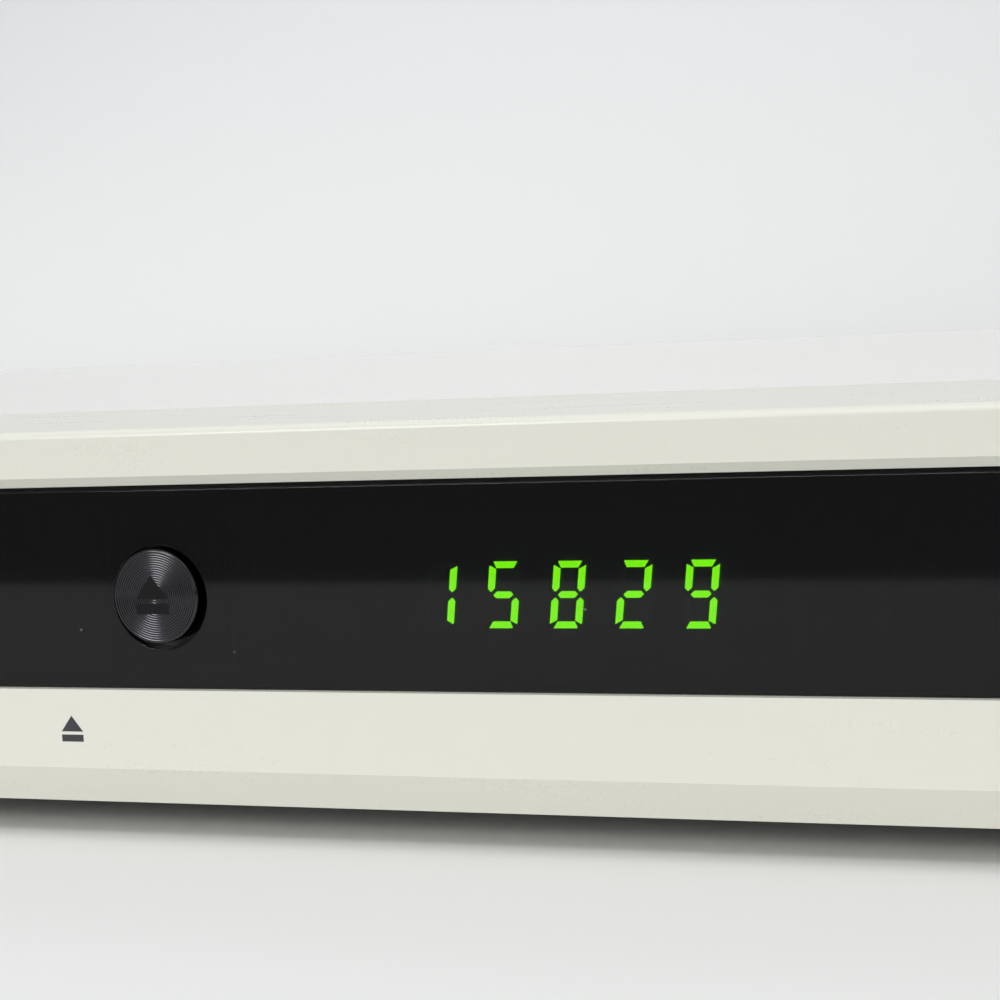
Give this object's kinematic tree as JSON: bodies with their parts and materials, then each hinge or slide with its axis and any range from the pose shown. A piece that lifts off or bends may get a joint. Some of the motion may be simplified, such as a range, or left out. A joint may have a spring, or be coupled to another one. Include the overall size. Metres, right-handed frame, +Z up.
{
  "type": "disc player",
  "caption": "Slim disc player with a motor-driven tray, clamp, lifting pickup unit, lit display, front buttons, boards, a bent steel cover and sockets at the back.",
  "frame": {"origin": "on the surface the player stands on, under the middle of its overall box", "axes": "+X to the right as the front is seen, +Y from the front panel to the back, +Z up"},
  "size_m": [0.43, 0.2222, 0.055],
  "materials": {
    "panel_cream": "satin, warm light grey",
    "smoked_strip": "polished, smoked",
    "door_black": "polished black",
    "button_metal": "turned in fine rings",
    "digit_green": "lit green",
    "display_black": "matt",
    "guide_black": "moulded",
    "circuit_board": "varnished laminate",
    "cover_paint": "fine textured paint",
    "zinc_steel": "zinc plated sheet",
    "foot_plastic": "moulded",
    "foot_rubber": "matt",
    "screw_steel": "plated",
    "tray_black": "fine texture",
    "gear_white": "plain",
    "pulley_brass": "turned",
    "belt_rubber": "matt",
    "motor_steel": "drawn can",
    "frame_black": "moulded",
    "damper_rubber": "soft",
    "rod_steel": "ground",
    "turntable_grey": "rubber faced",
    "sled_metal": "die cast",
    "lens_carrier": "moulded",
    "sink_metal": "extruded",
    "transformer_tape": "tape and ferrite",
    "capacitor_sleeve": "shrunk sleeve",
    "socket_black": "moulded",
    "jack_yellow": "moulded",
    "jack_white": "moulded",
    "jack_red": "moulded"
  },
  "bodies": {
    "housing": {"audio_left_jack": "jack_white", "audio_right_jack": "jack_red", "board_chips": "guide_black", "board_screws": "screw_steel", "button_guides": "guide_black", "capacitors": "capacitor_sleeve", "chassis_base": "zinc_steel", "clamp_bridge": "zinc_steel", "cover_screws": "screw_steel", "digit_segments": "digit_green", "display_module": "display_black", "display_window": "smoked_strip", "drive_screws": "screw_steel", "feet": "foot_plastic", "foot_pads": "foot_rubber", "front_board": "circuit_board", "front_board_screws": "screw_steel", "front_panel": "panel_cream", "hdmi_socket": "zinc_steel", "heat_sink": "sink_metal", "lan_socket": "socket_black", "loader_frame": "frame_black", "loading_belt": "belt_rubber", "loading_motor": "motor_steel", "main_board": "circuit_board", "mains_inlet": "socket_black", "optical_socket": "socket_black", "power_board": "circuit_board", "rear_panel": "zinc_steel", "remote_receiver": "display_black", "tact_switches": "guide_black", "top_cover": "cover_paint", "transformer": "transformer_tape", "usb_port": "zinc_steel", "video_jack": "jack_yellow"},
    "tray": {"disc_tray": "tray_black", "tray_door": "door_black"},
    "drive_gear": {"drive_gear": "gear_white"},
    "idler_pulley": {"idler_pulley": "gear_white"},
    "motor_pulley": {"motor_pulley": "pulley_brass"},
    "traverse": {"lift_frame": "frame_black", "traverse_base": "zinc_steel", "rubber_dampers": "damper_rubber", "guide_rods": "rod_steel", "spindle_motor": "motor_steel", "sled_motor": "motor_steel"},
    "spindle": {"turntable": "turntable_grey"},
    "sled": {"pickup_sled": "sled_metal"},
    "lens": {"pickup_lens": "lens_carrier"},
    "lead_screw": {"lead_screw": "rod_steel"},
    "cam_slider": {"cam_slider": "frame_black"},
    "clamper": {"disc_clamper": "gear_white"},
    "eject_button": {"eject_button": "button_metal"},
    "power_button": {"power_button": "button_metal"}
  },
  "joints": [
    {"name": "tray_slide", "type": "slide", "parent": "housing", "child": "tray", "axis": [0, -1, 0], "range_m": [0, 0.136]},
    {"name": "drive_gear_spin", "type": "hinge", "parent": "housing", "child": "drive_gear", "pos_m": [-0.025, -0.08295, 0.03], "axis": [0, 0, -1], "range_deg": [0, 960]},
    {"name": "idler_spin", "type": "hinge", "parent": "housing", "child": "idler_pulley", "pos_m": [-0.04938, -0.08295, 0.027], "axis": [0, 0, 1], "range_deg": [0, 1920]},
    {"name": "motor_pulley_spin", "type": "hinge", "parent": "housing", "child": "motor_pulley", "pos_m": [-0.086, -0.08295, 0.024], "axis": [0, 0, 1], "range_deg": [0, 6318]},
    {"name": "traverse_lift", "type": "hinge", "parent": "housing", "child": "traverse", "pos_m": [-0.068, 0.05405, 0.027], "axis": [-1, 0, 0], "range_deg": [0, 4.2]},
    {"name": "cam_slide", "type": "slide", "parent": "housing", "child": "cam_slider", "axis": [-1, 0, 0], "range_m": [0, 0.0161]},
    {"name": "spindle_spin", "type": "hinge", "parent": "traverse", "child": "spindle", "pos_m": [-0.068, -0.0343, 0.02853], "axis": [0, -0.0732, 0.9973], "continuous": true},
    {"name": "pickup_slide", "type": "slide", "parent": "traverse", "child": "sled", "axis": [0, 0.9973, 0.0732], "range_m": [0, 0.034]},
    {"name": "lead_screw_spin", "type": "hinge", "parent": "traverse", "child": "lead_screw", "pos_m": [-0.0346, 0.00392, 0.02693], "axis": [0, 0.9973, 0.0732], "range_deg": [0, 4081]},
    {"name": "lens_focus", "type": "slide", "parent": "sled", "child": "lens", "axis": [0, -0.0732, 0.9973], "range_m": [-0.0005, 0.0005], "stiffness_N_per_m": 400},
    {"name": "clamper_spin", "type": "hinge", "parent": "housing", "child": "clamper", "pos_m": [-0.068, -0.03395, 0.042], "axis": [0, 0, 1], "continuous": true},
    {"name": "eject_press", "type": "slide", "parent": "housing", "child": "eject_button", "axis": [0, 1, 0], "range_m": [0, 0.0006], "stiffness_N_per_m": 1000},
    {"name": "power_press", "type": "slide", "parent": "housing", "child": "power_button", "axis": [0, 1, 0], "range_m": [0, 0.0006], "stiffness_N_per_m": 1000}
  ],
  "couplings": [
    {"joint": "drive_gear_spin", "follows": "tray_slide", "rad_per_m": 123.08},
    {"joint": "idler_spin", "follows": "tray_slide", "rad_per_m": 246.15},
    {"joint": "motor_pulley_spin", "follows": "tray_slide", "rad_per_m": 809.93},
    {"joint": "cam_slide", "follows": "traverse_lift", "m_per_rad": 0.21827},
    {"joint": "lead_screw_spin", "follows": "pickup_slide", "rad_per_m": 2094.4}
  ]
}
